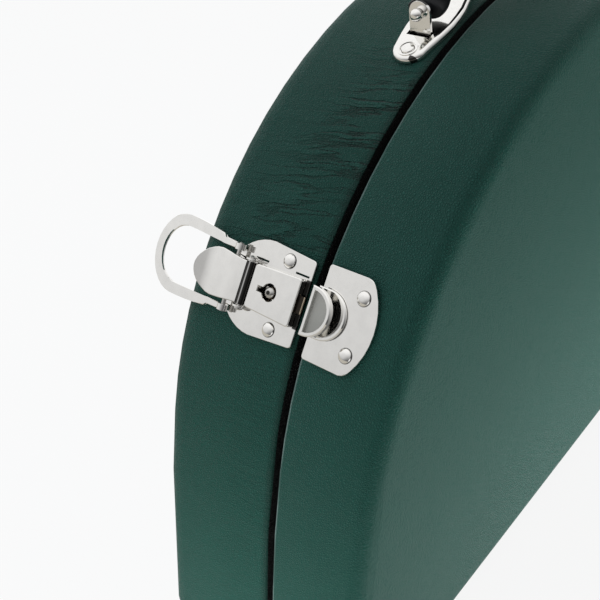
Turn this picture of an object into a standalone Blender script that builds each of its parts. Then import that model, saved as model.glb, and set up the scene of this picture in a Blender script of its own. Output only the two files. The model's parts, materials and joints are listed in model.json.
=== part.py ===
"""Half-moon carrying case for a small horn, standing on its flat hinge side.

X runs to the right seen from the lid, Y to the back and Z up, in metres. The origin is on the
ground, under the middle of the case with its latch bails thrown back. The lid is closed and both
draw latches are unhooked.
"""

import math

import bmesh
import bpy
from mathutils import Matrix, Vector

MM = 0.001

# Case outline, seen from the front
CASE_HEIGHT = 285.9 * MM
RIM_RADIUS = 230.1 * MM
RIM_SPAN = math.radians(70.17)
FLANK_RADIUS = 603.3 * MM
FLANK_SPAN = math.radians(6.68)
CORNER_RADIUS = 12.0 * MM
LEAST_CORNER = 0.5 * MM

# Shells, from the seam to the outer faces
BACK_DEPTH = 73.6 * MM
LID_DEPTH = 51.0 * MM
SEAM_GAP = 4.0 * MM
BACK_WALL = 5.5 * MM
LID_WALL = 5.0 * MM
BACK_EDGE = 14.0 * MM
LID_EDGE = 8.0 * MM
SEAM_EDGE = 0.8 * MM
SEAT = 0.3 * MM

# Tongue that closes the seam from inside
TONGUE_THICK = 1.8 * MM
TONGUE_IN_LID = 6.0 * MM
TONGUE_IN_BACK = 14.0 * MM

# Fitted bed and lid pad
BED_EDGE = 6.0 * MM
BED_FLOOR = 7.0 * MM
BELL_RADIUS = 60.0 * MM
BELL_FLARE_RADIUS = 31.0 * MM
BELL_FLARE = 52.0 * MM
BELL_THROAT = 17.0 * MM
BELL_LENGTH = 150.0 * MM
BELL_MOUTH_X = -198.0 * MM
BELL_RAISE = 14.0 * MM
LEADPIPE_LENGTH = 238.0 * MM
HORN_LINE = 88.0 * MM
BODY_LENGTH = 190.0 * MM
BODY_WIDTH = 112.0 * MM
BODY_CENTRE_X = 35.0 * MM
BODY_CORNER = 26.0 * MM
PAD_THICK = 10.0 * MM
PAD_CROWN = 4.0 * MM
PAD_BORDER = 16.0 * MM

# Feet and studs
FOOT_HEIGHT = 9.0 * MM
FOOT_RADIUS = 9.0 * MM
FOOT_INSET = 66.0 * MM
BACK_FOOT_DEPTH = 50.0 * MM
LID_FOOT_DEPTH = 33.0 * MM
STUD_RADIUS = 8.0 * MM
STUD_HEIGHT = 5.5 * MM
STUD_BRIM = 0.2
STUD_INSET = 19.0 * MM
STUD_ANGLE = math.radians(23.0)
LOW_STUD_INSET = 32.0 * MM
LOW_STUD_Z = 30.0 * MM

# Hinges on the flat side
HINGE_X = 120.0 * MM
LEAF_LENGTH = 52.0 * MM
LEAF_WIDTH = 24.0 * MM
LEAF_THICK = 1.4 * MM
LEAF_CORNER = 3.0 * MM
LEAF_WEB = 1.0 * MM
LEAF_RIVET = 2.6 * MM
LEAF_RIVET_HEAD = 0.9 * MM
LEAF_RIVET_PITCH = 17.0 * MM
LEAF_RIVET_ROW = 15.0 * MM
KNUCKLE_RADIUS = 3.0 * MM
MIDDLE_KNUCKLE = 20.0 * MM
PIN_RADIUS = 1.5 * MM

# Draw latches: place on the rim, sheet and fasteners
LATCH_ANGLE = math.radians(50.6)
PLATE_THICK = 1.2 * MM
PLATE_SOFT = 0.4 * MM
PLATE_SEAM = 3.4 * MM
PLATE_SEAM_HALF = 20.1 * MM
PLATE_CORNER = 2.0 * MM
PLATE_ROUND = 22.1 * MM
PLATE_ROUND_A = -28.0 * MM
RIVET_RADIUS = 3.3 * MM
RIVET_SHANK = 1.4 * MM
RIVET_HEAD = 1.3 * MM
RIVET_A = -17.5 * MM
RIVET_W = 16.1 * MM
VENT_LENGTH = 7.6 * MM
VENT_WIDTH = 0.9 * MM
VENT_W = 12.4 * MM
VENTS_A = (-32.3 * MM, -8.8 * MM)

# Lock under its cover
COVER_LEFT = 32.4 * MM
COVER_RIGHT = 5.7 * MM
COVER_LEFT_HALF = 10.2 * MM
COVER_RIGHT_HALF = 11.2 * MM
COVER_TOP = 5.3 * MM
COVER_WALL = 0.8 * MM
COVER_CORNER = 1.4 * MM
COVER_SOFT = 0.6 * MM
KEYHOLE_A = -20.75 * MM
KEYHOLE_RADIUS = 4.2 * MM
KEYWAY_REACH = 7.05 * MM
KEYWAY_HALF = 1.4 * MM
POST_BALL = 3.0 * MM
POST_TOP = 6.3 * MM
BOLT_HALF = 7.5 * MM
BOLT_THICK = 1.2 * MM
BOLT_LIFT = 0.9 * MM
BOLT_TRAVEL = 2.5 * MM
BOLT_TAIL = 3.3 * MM
BOLT_TAIL_HALF = 4.0 * MM

# Lever, its axle and ears
AXLE_A = -35.1 * MM
AXLE_H = 4.5 * MM
AXLE_RADIUS = 1.1 * MM
AXLE_HEAD = 1.0 * MM
AXLE_HEAD_RADIUS = 2.1 * MM
BORE_CLEARANCE = 0.28 * MM
EAR_IN = 10.6 * MM
EAR_THICK = 0.9 * MM
EAR_RADIUS = 3.3 * MM
EAR_ROOT = 0.6 * MM
BARREL_RADIUS = 2.3 * MM
BARREL_HALF = 10.2 * MM
LEVER_SHEET = 1.0 * MM
LEVER_SOFT = 0.6 * MM
LEVER_START = 0.3 * MM
LEVER_TIP = 29.0 * MM
LEVER_ROUND = 11.5 * MM
LEVER_CAMBER = ((0.3, 2.0), (1.5, 2.3), (8.0, 2.7), (16.0, 2.0), (22.4, 1.8), (23.6, 2.2), (29.0, 4.9))
LEVER_FLANGE = ((0.3, 1.2), (3.0, 1.8), (6.5, 3.8), (9.5, 4.7), (13.0, 4.2), (18.0, 1.5), (29.0, 1.2))
LEVER_HALF = ((0.3, 9.9), (4.0, 10.1), (9.0, 10.7), (14.0, 11.3), (17.5, 11.5))

# Bail: a flat strap bent to a loop on two eyes
PIVOT_REACH = 8.7 * MM
PIVOT_RISE = 0.5 * MM
PIVOT_RADIUS = 1.0 * MM
PIVOT_END = 0.5 * MM
EYE_RADIUS = 2.5 * MM
EYE_PROUD = 0.15 * MM
NECK_IN = 13.2 * MM
NECK_OUT = 15.8 * MM
NECK_LENGTH = 11.0 * MM
SHOULDER_RUN = 1.6 * MM
STRAP_IN = 14.2 * MM
STRAP_OUT = 19.5 * MM
STRAP_THICK = 1.6 * MM
STRAP_SOFT = 0.35 * MM
ARM_BOW_OUT = 1.9 * MM
ARM_BOW_IN = 0.8 * MM
BAIL_LENGTH = 58.8 * MM
BAIL_TILT = math.radians(8.5)

# Hook plate and catch
HOOK_LEFT = 3.4 * MM
HOOK_RIGHT = 34.5 * MM
HOOK_ROUND = 33.0 * MM
HOOK_HALF = 21.7 * MM
HOOK_SEAM_CORNER = 1.5 * MM
HOOK_CORNER = 5.0 * MM
HOOK_RIVET_A = 24.75 * MM
HOOK_RIVET_W = 12.7 * MM
CATCH_BASE_FLAT = 2.3 * MM
CATCH_BASE_HALF = 11.3 * MM
CATCH_BASE_END = 20.1 * MM
CATCH_BASE_TOP = 3.0 * MM
CATCH_NECK_HALF = 6.0 * MM
CATCH_NECK_END = 9.4 * MM
CATCH_CAP_FLAT = 2.9 * MM
CATCH_CAP_HALF = 11.2 * MM
CATCH_CAP_END = 15.6 * MM
CATCH_CAP_UNDER = 6.2 * MM
CATCH_TOP = 8.6 * MM
CATCH_DISH = 1.5 * MM
CATCH_LIP = 1.7 * MM
CATCH_SOFT = 0.5 * MM

# Carrying handle: its pressed plate, brackets and pins
HANDLE_A = -15.1 * MM
HANDLE_REACH = 82.5 * MM
HANDLE_END_ROUND = 9.0 * MM
HANDLE_LOBE = ((9.0, 9.0), (19.4, 11.1), (28.0, 11.9), (40.0, 10.5), (47.0, 8.0), (54.0, 6.0), (62.0, 5.5), (82.5, 5.5))
HANDLE_TOP = 3.2 * MM
HANDLE_SLOPE = 2.4 * MM
HANDLE_BORDER = ((0.0, 0.45), (0.2, 0.75), (0.5, 0.93), (1.0, 1.0))
HANDLE_UNDERSIDE = ((1.0, 1.0), (0.33, 0.7))
HANDLE_RIVET_INSET = 6.8 * MM
COLLAR_RADIUS = 4.8 * MM
COLLAR_INNER = 3.9 * MM
COLLAR_PROUD = 0.4 * MM
COLLAR_SINK = 0.3 * MM
LUG_ARC = 61.9 * MM
LUG_THICK = 1.6 * MM
LUG_HALF = 5.6 * MM
LUG_PAST_RIVET = 3.0 * MM
LUG_LIFT = 0.45 * MM
LUG_ROOM = 0.4 * MM
EYE_HEIGHT = 12.0 * MM
SLOT_GAP = 2.2 * MM
SLOT_LENGTH = 12.7 * MM
HANDLE_PIN = 1.7 * MM
HANDLE_PIN_CLEARANCE = 0.4 * MM
HANDLE_BALL = 3.0 * MM
SLEEVE_RADIUS = 3.4 * MM
SLEEVE_SOFT = 0.4 * MM
SLEEVE_LENGTH = 1.8 * MM

# Leather grip: half lengths and heights over its swing axis
GRIP_CORNER_X = 55.6 * MM
GRIP_CORNER_BEND = 6.0 * MM
GRIP_SHOULDER_X = 47.6 * MM
GRIP_SHOULDER_RISE = 24.4 * MM
GRIP_SHOULDER_BEND = 22.0 * MM
GRIP_RISE = 28.0 * MM
GRIP_CROWN_BEND = 120.0 * MM
GRIP_HALF_WIDTH = 11.0 * MM
GRIP_HALF_THICK = 7.0 * MM
GRIP_END_HALF_WIDTH = 9.5 * MM
GRIP_END_HALF_THICK = 4.5 * MM
GRIP_END_SOFT = 0.8 * MM
GRIP_POINTS = 16

BASE_Z = FOOT_HEIGHT + SEAT
ARC_Z = BASE_Z + CASE_HEIGHT - RIM_RADIUS
HALF_GAP = SEAM_GAP / 2
PLATE_TOP = SEAT + PLATE_THICK
PIVOT_A = AXLE_A - PIVOT_REACH
PIVOT_H = AXLE_H + PIVOT_RISE
BAIL_REACH = -PIVOT_A + BAIL_LENGTH * math.cos(BAIL_TILT) + STRAP_THICK / 2 * math.sin(BAIL_TILT)
FRONT_REACH = HALF_GAP + LID_DEPTH
SEAM_Y = (FRONT_REACH - BAIL_REACH) / 2
HINGE_Z = BASE_Z - SEAT - KNUCKLE_RADIUS
HANDLE_RIVET_ARC = HANDLE_REACH - HANDLE_RIVET_INSET
PIN_X = (RIM_RADIUS + EYE_HEIGHT) * math.sin(LUG_ARC / RIM_RADIUS)
PIN_Z = ARC_Z + (RIM_RADIUS + EYE_HEIGHT) * math.cos(LUG_ARC / RIM_RADIUS)
GRIP_HALF_LENGTH = PIN_X - LUG_THICK / 2 - SEAT - SLEEVE_LENGTH - SEAT


def clear_scene():
    for thing in list(bpy.data.objects):
        bpy.data.objects.remove(thing)


def material(name, colour, roughness, metallic=0.0):
    made = bpy.data.materials.new(name)
    made.use_nodes = True
    shader = made.node_tree.nodes["Principled BSDF"]
    shader.inputs["Base Color"].default_value = (*colour, 1.0)
    shader.inputs["Roughness"].default_value = roughness
    shader.inputs["Metallic"].default_value = metallic
    made.diffuse_color = (*colour, 1.0)
    return made


def empty(name, matrix):
    made = bpy.data.objects.new(name, None)
    bpy.context.scene.collection.objects.link(made)
    made.matrix_world = matrix
    return made


def new_object(name, bm, finish, parent=None, at=(0.0, 0.0, 0.0), mirrored=False):
    """An object from a mesh whose numbers are relative to the point at."""
    if mirrored:
        bmesh.ops.scale(bm, vec=(1.0, -1.0, 1.0), verts=bm.verts)
    bmesh.ops.recalc_face_normals(bm, faces=bm.faces)
    mesh = bpy.data.meshes.new(name)
    bm.to_mesh(mesh)
    bm.free()
    made = bpy.data.objects.new(name, mesh)
    bpy.context.scene.collection.objects.link(made)
    made.parent = parent
    made.location = (at[0], -at[1] if mirrored else at[1], at[2])
    if finish:
        mesh.materials.append(finish)
        mesh.shade_smooth()
        mesh.set_sharp_from_angle(angle=math.radians(35.0))
    return made


def boolean(target, bm, operation, mirrored=False):
    """Cut a tool out of the target, or join it on. The tool shares the target's own axes."""
    tool = new_object(f"{target.name}_tool_{len(target.modifiers)}", bm, None, mirrored=mirrored)
    tool.parent = target
    tool.hide_render = True
    tool.display_type = "WIRE"
    step = target.modifiers.new(tool.name, "BOOLEAN")
    step.operation = operation
    step.solver = "EXACT"
    step.object = tool


def loft(rings, strips=False):
    """A closed skin through rings of equally many points. Strips close long bent ends."""
    bm = bmesh.new()
    loops = [[bm.verts.new(point) for point in ring] for ring in rings]
    for lower, upper in zip(loops, loops[1:]):
        for i, vert in enumerate(lower):
            j = (i + 1) % len(lower)
            bm.faces.new((vert, lower[j], upper[j], upper[i]))
    for loop in (loops[0][:1] + loops[0][:0:-1], loops[-1]):
        if not strips:
            bm.faces.new(loop)
            continue
        for i in range(len(loop) // 2):
            corners = (loop[i], loop[i + 1], loop[-i - 1], loop[-i])
            bm.faces.new(list(dict.fromkeys(corners)))
    return bm


def turned(profile, segments=16, axis="Z"):
    """A lathe-turned piece: (radius, height) steps about an axis through the origin."""
    turn = 2 * math.pi / segments
    rings = [
        [(r * math.cos(i * turn), r * math.sin(i * turn), h) for i in range(segments)]
        for r, h in profile
    ]
    bm = loft(rings)
    if axis == "Y":
        bmesh.ops.rotate(bm, verts=bm.verts, matrix=Matrix.Rotation(math.pi / 2, 3, "X"))
    if axis == "X":
        bmesh.ops.rotate(bm, verts=bm.verts, matrix=Matrix.Rotation(math.pi / 2, 3, "Y"))
    return bm


def moved(bm, x=0.0, y=0.0, z=0.0):
    bmesh.ops.translate(bm, verts=bm.verts, vec=(x, y, z))
    return bm


def placed(bm, matrix):
    bmesh.ops.transform(bm, verts=bm.verts, matrix=matrix)
    return bm


def rod(radius, length, segments=16, axis="Y"):
    """A round bar with its middle at the origin."""
    return turned([(radius, -length / 2), (radius, length / 2)], segments, axis)


def dome(radius, low, height, steps=3, crown=0.3):
    """Turned steps of a domed head, from its foot to a small flat on its crown."""
    last = math.acos(crown)
    angles = [last * i / steps for i in range(steps + 1)]
    return [(radius * math.cos(t), low + height * math.sin(t) / math.sin(last)) for t in angles]


def ball(radius, start, low, steps=5, end=math.radians(72.0)):
    """Turned steps of a ball cut off at the start angle, where it stands at the low height."""
    angles = [start + (end - start) * i / steps for i in range(steps + 1)]
    return [(radius * math.cos(t), low + radius * (math.sin(t) - math.sin(start))) for t in angles]


def filleted(corners, steps=4):
    """Outline through (x, y, radius) corners, each rounded by its own radius."""
    points = []
    for i, (x, y, radius) in enumerate(corners):
        if radius <= 0.0:
            points.append((x, y))
            continue
        here = Vector((x, y))
        back = (Vector(corners[i - 1][:2]) - here).normalized()
        ahead = (Vector(corners[(i + 1) % len(corners)][:2]) - here).normalized()
        half = back.angle(ahead) / 2
        centre = here + (back + ahead).normalized() * radius / math.sin(half)
        start = here + back * radius / math.tan(half) - centre
        sweep = start.angle_signed(here + ahead * radius / math.tan(half) - centre)
        for k in range(steps + 1):
            turn = Matrix.Rotation(-sweep * k / steps, 2)
            spot = centre + turn @ start
            points.append((spot.x, spot.y))
    return points


def slab(outline, low, high):
    """An outline in the X Y plane given thickness along Z."""
    return loft([[(x, y, z) for x, y in outline] for z in (low, high)])


def blade(outline, low, high):
    """An outline in the X Z plane given thickness along Y."""
    return loft([[(x, y, z) for x, z in outline] for y in (low, high)])


def block(low, high):
    outline = [(low[0], low[1]), (high[0], low[1]), (high[0], high[1]), (low[0], high[1])]
    return slab(outline, low[2], high[2])


def round_edges(bm, width, chosen, segments=2):
    """Bevel the edges of a mesh that the test chooses."""
    edges = [edge for edge in bm.edges if chosen(edge)]
    bmesh.ops.bevel(bm, geom=edges, offset=width, segments=segments, profile=0.5, affect="EDGES")
    return bm


def at_height(*heights):
    """Chooses the edges that lie at one of the heights."""
    def chosen(edge):
        ends = [vert.co.z for vert in edge.verts]
        return any(all(abs(end - height) < 1e-6 for end in ends) for height in heights)
    return chosen


def smooth_through(knots, x):
    """A curve through (x, y) knots that is flat at each turn and never overshoots."""
    xs = [knot[0] for knot in knots]
    ys = [knot[1] for knot in knots]
    slopes = [(ys[i + 1] - ys[i]) / (xs[i + 1] - xs[i]) for i in range(len(xs) - 1)]
    tangents = [slopes[0]]
    for before, after in zip(slopes, slopes[1:]):
        tangents.append(2 * before * after / (before + after) if before * after > 0 else 0.0)
    tangents.append(slopes[-1])
    i = min(max(sum(x >= knot for knot in xs) - 1, 0), len(slopes) - 1)
    width = xs[i + 1] - xs[i]
    t = min(max((x - xs[i]) / width, 0.0), 1.0)
    rise = ys[i] * (1 + 2 * t) * (1 - t) ** 2 + ys[i + 1] * t * t * (3 - 2 * t)
    return rise + width * (tangents[i] * t * (1 - t) ** 2 - tangents[i + 1] * t * t * (1 - t))


def arc(centre, radius, start, end, steps):
    """Points on an arc whose angles count clockwise from the top."""
    angles = [start + (end - start) * i / steps for i in range(steps + 1)]
    return [(centre[0] + radius * math.sin(t), centre[1] + radius * math.cos(t)) for t in angles]


def flank_centre():
    apart = RIM_RADIUS - FLANK_RADIUS
    return apart * math.sin(RIM_SPAN), ARC_Z + apart * math.cos(RIM_SPAN)


def lower_corner(inset):
    """Centre and radius of the lower corner's round, touching the flat side and the flank."""
    flank = RIM_SPAN + FLANK_SPAN
    centre = flank_centre()
    radius = max(CORNER_RADIUS - inset, LEAST_CORNER)
    z = BASE_Z + inset + radius
    reach = FLANK_RADIUS - inset - radius - (z - centre[1]) * math.cos(flank)
    return (centre[0] + reach / math.sin(flank), z), radius


def case_outline(inset):
    """The half-moon, moved inwards by the inset, clockwise from its top, as (x, z) points."""
    flank = RIM_SPAN + FLANK_SPAN
    corner, radius = lower_corner(inset)
    right = arc((0.0, ARC_Z), RIM_RADIUS - inset, 0.0, RIM_SPAN, 16)
    right += arc(flank_centre(), FLANK_RADIUS - inset, RIM_SPAN, flank, 2)[1:]
    right += arc(corner, radius, flank, math.pi, 6)
    return right + [(-x, z) for x, z in right[:0:-1]]


def case_ring(inset, y):
    return [(x, y, z) for x, z in case_outline(inset)]


def rounding(radius, steps=4):
    """(inset, sink) steps of a quarter round, from the side to the face."""
    angles = [math.pi / 2 * i / steps for i in range(steps + 1)]
    return [(radius * (1 - math.cos(t)), radius * (1 - math.sin(t))) for t in angles]


def shell(depth, wall, edge, way):
    """An open tray with rounded outer edges. Way is the side of the seam it lies on."""
    rim = SEAM_Y + way * HALF_GAP
    face = rim + way * depth
    floor = face - way * wall
    inner = rounding(edge - wall, 3)[::-1]
    rings = [case_ring(wall + inset, floor - way * sink) for inset, sink in inner]
    rings.append(case_ring(wall, rim))
    rings += [case_ring(inset, rim + way * sink) for inset, sink in rounding(SEAM_EDGE, 2)[::-1]]
    rings += [case_ring(inset, face - way * sink) for inset, sink in rounding(edge, 5)]
    return loft(rings)


def on_lid(name, bm, finish, lid_swing):
    """A piece of the lid, with its origin on the hinge axis."""
    return new_object(name, moved(bm, y=-SEAM_Y, z=-HINGE_Z), finish, lid_swing)


def make_shells(leather, fibre, lid_swing):
    back = new_object("back_shell", shell(BACK_DEPTH, BACK_WALL, BACK_EDGE, 1), leather)
    on_lid("front_shell", shell(LID_DEPTH, LID_WALL, LID_EDGE, -1), leather, lid_swing)
    outer = BACK_WALL + SEAT
    inner = outer + TONGUE_THICK
    low = SEAM_Y - HALF_GAP - TONGUE_IN_LID
    high = SEAM_Y + HALF_GAP + TONGUE_IN_BACK
    tongue = new_object("rim_tongue", loft([case_ring(outer, low), case_ring(outer, high)]), fibre)
    hole = [case_ring(inner, low - TONGUE_THICK), case_ring(inner, high + TONGUE_THICK)]
    boolean(tongue, loft(hole), "DIFFERENCE")
    return back


def make_linings(plush, lid_swing):
    """The bed with its horn-shaped hollow in the back, and the crowned pad in the lid."""
    top = SEAM_Y + HALF_GAP + TONGUE_IN_BACK + SEAT
    bottom = SEAM_Y + HALF_GAP + BACK_DEPTH - BACK_WALL - SEAT
    inset = BACK_WALL + SEAT
    lower = rounding(BACK_EDGE - BACK_WALL, 3)[::-1]
    rings = [case_ring(inset + step, bottom - sink) for step, sink in lower]
    rings += [case_ring(inset + step, top + sink) for step, sink in rounding(BED_EDGE, 3)]
    bed = new_object("back_bed", loft(rings), plush)

    horn_z = BASE_Z + HORN_LINE
    throat_x = BELL_MOUTH_X + BELL_LENGTH
    bell = turned([
        (BELL_RADIUS, BELL_MOUTH_X),
        (BELL_FLARE_RADIUS, BELL_MOUTH_X + BELL_FLARE),
        (BELL_THROAT, throat_x),
        (BELL_THROAT, throat_x + LEADPIPE_LENGTH),
    ], 20, "X")
    boolean(bed, moved(bell, y=top - BELL_RAISE, z=horn_z), "DIFFERENCE")
    corners = [
        (BODY_CENTRE_X + sx * BODY_LENGTH / 2, horn_z + sz * BODY_WIDTH / 2, BODY_CORNER)
        for sx, sz in ((-1, -1), (1, -1), (1, 1), (-1, 1))
    ]
    pocket = blade(filleted(corners), top - BED_EDGE, bottom - BED_FLOOR)
    boolean(bed, pocket, "DIFFERENCE")

    floor = SEAM_Y - HALF_GAP - LID_DEPTH + LID_WALL + SEAT
    inset = LID_WALL + SEAT
    lower = rounding(LID_EDGE - LID_WALL, 2)[::-1]
    rings = [case_ring(inset + step, floor + sink) for step, sink in lower]
    slope = PAD_BORDER / PAD_CROWN
    rings += [
        case_ring(inset + slope * step, floor + PAD_THICK - sink)
        for step, sink in rounding(PAD_CROWN, 3)
    ]
    on_lid("lid_pad", loft(rings), plush, lid_swing)


def stud(radius, height):
    """A domed stud on a thin brim, from its wide foot at zero to its flat crown."""
    brim = height * STUD_BRIM
    return turned([(radius, 0.0)] + dome(radius, brim, height - brim, 3, 0.5), 14)


def make_feet(nickel, back, lid_swing):
    flat_end = lower_corner(0.0)[0][0]
    foot_x = flat_end - FOOT_INSET
    back_spot = (SEAM_Y + HALF_GAP + BACK_FOOT_DEPTH, FOOT_HEIGHT)
    lid_spot = (-HALF_GAP - LID_FOOT_DEPTH, FOOT_HEIGHT - HINGE_Z)
    for row, (y, z), carrier in (("back", back_spot, back), ("lid", lid_spot, lid_swing)):
        for side, x in (("left", -foot_x), ("right", foot_x)):
            down = placed(stud(FOOT_RADIUS, FOOT_HEIGHT), Matrix.Rotation(math.pi, 4, "X"))
            new_object(f"{row}_foot_{side}", down, nickel, carrier, (x, y, z))
    face = SEAM_Y + HALF_GAP + BACK_DEPTH + SEAT
    stud_line = RIM_RADIUS - STUD_INSET
    high = (stud_line * math.sin(STUD_ANGLE), ARC_Z + stud_line * math.cos(STUD_ANGLE))
    low = (flat_end - LOW_STUD_INSET, BASE_Z + LOW_STUD_Z)
    for height, (x, z) in (("upper", high), ("lower", low)):
        for side, way in (("left", -1), ("right", 1)):
            back_facing = placed(stud(STUD_RADIUS, STUD_HEIGHT), Matrix.Rotation(-math.pi / 2, 4, "X"))
            new_object(f"{height}_stud_{side}", back_facing, nickel, back, (way * x, face, z))


def hinge_leaf(name, spans, way, nickel, parent, at):
    """A leaf riveted flat under one shell, with its rolled knuckles about the origin."""
    top = KNUCKLE_RADIUS
    clear = way * (KNUCKLE_RADIUS + SEAT)
    half = LEAF_LENGTH / 2
    corners = [
        (-half, clear, 0.0),
        (half, clear, 0.0),
        (half, way * LEAF_WIDTH, LEAF_CORNER),
        (-half, way * LEAF_WIDTH, LEAF_CORNER),
    ]
    leaf = new_object(name, slab(filleted(corners), top - LEAF_THICK, top), nickel, parent, at)
    for low, high in spans:
        roll = moved(rod(KNUCKLE_RADIUS, high - low, 16, "X"), x=(low + high) / 2)
        boolean(leaf, roll, "UNION")
        web = sorted((0.0, clear + way * LEAF_WEB))
        step = LEAF_THICK / 50
        boolean(leaf, block((low, web[0], top - LEAF_THICK), (high, web[1], top - step)), "UNION")
    for along in (-LEAF_RIVET_PITCH, 0.0, LEAF_RIVET_PITCH):
        head = [(LEAF_RIVET, LEAF_THICK / 2)] + dome(LEAF_RIVET, 0.0, -LEAF_RIVET_HEAD, 1, 0.5)
        head = moved(turned(head, 10), along, way * LEAF_RIVET_ROW, top - LEAF_THICK)
        boolean(leaf, head, "UNION")
    boolean(leaf, rod(PIN_RADIUS + BORE_CLEARANCE, 2 * LEAF_LENGTH, 14, "X"), "DIFFERENCE")


def make_hinges(nickel, steel, lid_swing):
    half = LEAF_LENGTH / 2
    middle = MIDDLE_KNUCKLE / 2
    for side, x in (("left", -HINGE_X), ("right", HINGE_X)):
        at = (x, SEAM_Y, HINGE_Z)
        outer = [(-half, -middle - SEAT), (middle + SEAT, half)]
        hinge_leaf(f"hinge_back_{side}", outer, 1, nickel, None, at)
        hinge_leaf(f"hinge_front_{side}", [(-middle, middle)], -1, nickel, lid_swing, (x, 0.0, 0.0))
        new_object(f"hinge_pin_{side}", rod(PIN_RADIUS, LEAF_LENGTH, 12, "X"), steel, None, at)


def rivet_mesh(seat):
    """A domed rivet: its shank stands in the sheet's hole, its head just above the seat."""
    low = seat + SEAT
    return turned([(RIVET_SHANK, SEAT), (RIVET_SHANK, low)] + dome(RIVET_RADIUS, low, RIVET_HEAD), 14)


def rivet_hole():
    return rod(RIVET_SHANK + SEAT, 4 * HANDLE_TOP, 14, "Z")


def make_base_plate(name, nickel, parent, mirrored):
    """The plate on the back shell, with its two ears for the lever's axle."""
    corners = [(-PLATE_SEAM, PLATE_SEAM_HALF, PLATE_CORNER)]
    corners += [(a, w, 0.0) for a, w in arc((PLATE_ROUND_A, 0.0), PLATE_ROUND, 0.0, -math.pi, 20)]
    corners += [(-PLATE_SEAM, -PLATE_SEAM_HALF, PLATE_CORNER)]
    bm = round_edges(slab(filleted(corners), SEAT, PLATE_TOP), PLATE_SOFT, at_height(PLATE_TOP))
    plate = new_object(name, bm, nickel, parent, mirrored=mirrored)
    root = PLATE_TOP - EAR_ROOT
    ear = [(AXLE_A - EAR_RADIUS, root)]
    ear += arc((AXLE_A, AXLE_H), EAR_RADIUS, -math.pi / 2, math.pi / 2, 10)
    ear += [(AXLE_A + EAR_RADIUS, root)]
    for low in (EAR_IN, -EAR_IN - EAR_THICK):
        boolean(plate, blade(ear, low, low + EAR_THICK), "UNION", mirrored)
    bore = moved(rod(AXLE_RADIUS + BORE_CLEARANCE, 3 * EAR_IN), AXLE_A, 0.0, AXLE_H)
    boolean(plate, bore, "DIFFERENCE", mirrored)
    for way in (-1, 1):
        boolean(plate, moved(rivet_hole(), RIVET_A, way * RIVET_W), "DIFFERENCE", mirrored)
    for middle in VENTS_A:
        low = (middle - VENT_LENGTH / 2, VENT_W - VENT_WIDTH / 2, -PLATE_THICK)
        high = (middle + VENT_LENGTH / 2, VENT_W + VENT_WIDTH / 2, 2 * PLATE_TOP)
        boolean(plate, block(low, high), "DIFFERENCE", mirrored)


def make_lock(tag, nickel, steel, brass, parent, mirrored):
    """The lock's cover with its keyhole, the post the key turns on, and the forked bolt."""
    foot = PLATE_TOP + SEAT
    corners = [
        (-COVER_LEFT, -COVER_LEFT_HALF, COVER_CORNER),
        (-COVER_RIGHT, -COVER_RIGHT_HALF, COVER_CORNER),
        (-COVER_RIGHT, COVER_RIGHT_HALF, COVER_CORNER),
        (-COVER_LEFT, COVER_LEFT_HALF, COVER_CORNER),
    ]
    bm = round_edges(slab(filleted(corners, 3), foot, COVER_TOP), COVER_SOFT, at_height(COVER_TOP), 3)
    cover = new_object(f"lock_cover_{tag}", bm, nickel, parent, mirrored=mirrored)
    room = (COVER_LEFT - COVER_WALL, COVER_LEFT_HALF - COVER_WALL)
    low = (-room[0], -room[1], 0.0)
    high = (-COVER_RIGHT - COVER_WALL, room[1], COVER_TOP - COVER_WALL)
    boolean(cover, block(low, high), "DIFFERENCE", mirrored)
    keyhole = moved(rod(KEYHOLE_RADIUS, 4 * COVER_WALL, 22, "Z"), KEYHOLE_A, 0.0, COVER_TOP)
    boolean(cover, keyhole, "DIFFERENCE", mirrored)
    low = (KEYHOLE_A - KEYWAY_REACH, -KEYWAY_HALF, COVER_TOP - 2 * COVER_WALL)
    high = (KEYHOLE_A, KEYWAY_HALF, COVER_TOP + COVER_WALL)
    boolean(cover, block(low, high), "DIFFERENCE", mirrored)

    bolt_low = PLATE_TOP + BOLT_LIFT
    bolt_top = bolt_low + BOLT_THICK
    tail_half = BOLT_TAIL_HALF + SEAT
    low = (-COVER_RIGHT - 2 * COVER_WALL, -tail_half, bolt_low - SEAT)
    high = (-COVER_RIGHT + COVER_WALL, tail_half, bolt_top + SEAT)
    boolean(cover, block(low, high), "DIFFERENCE", mirrored)

    left = -room[0] + SEAT + BOLT_TRAVEL
    crotch = KEYHOLE_A + POST_BALL + SEAT + BOLT_TRAVEL
    right = -COVER_RIGHT - COVER_WALL - SEAT
    prong = KEYHOLE_RADIUS + SEAT
    side = [(left, prong), (left, BOLT_HALF), (right, BOLT_HALF), (right, BOLT_TAIL_HALF)]
    side += [(-COVER_RIGHT + BOLT_TAIL, BOLT_TAIL_HALF)]
    outline = [(crotch, prong)] + side + [(a, -w) for a, w in side[::-1]] + [(crotch, -prong)]
    new_object(f"lock_bolt_{tag}", slab(outline, bolt_low, bolt_top), brass, parent, mirrored=mirrored)

    middle = POST_TOP - POST_BALL
    post = turned(ball(POST_BALL, math.asin((foot - middle) / POST_BALL), foot), 16)
    new_object(f"key_post_{tag}", post, steel, parent, (KEYHOLE_A, 0.0, 0.0), mirrored)


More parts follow.
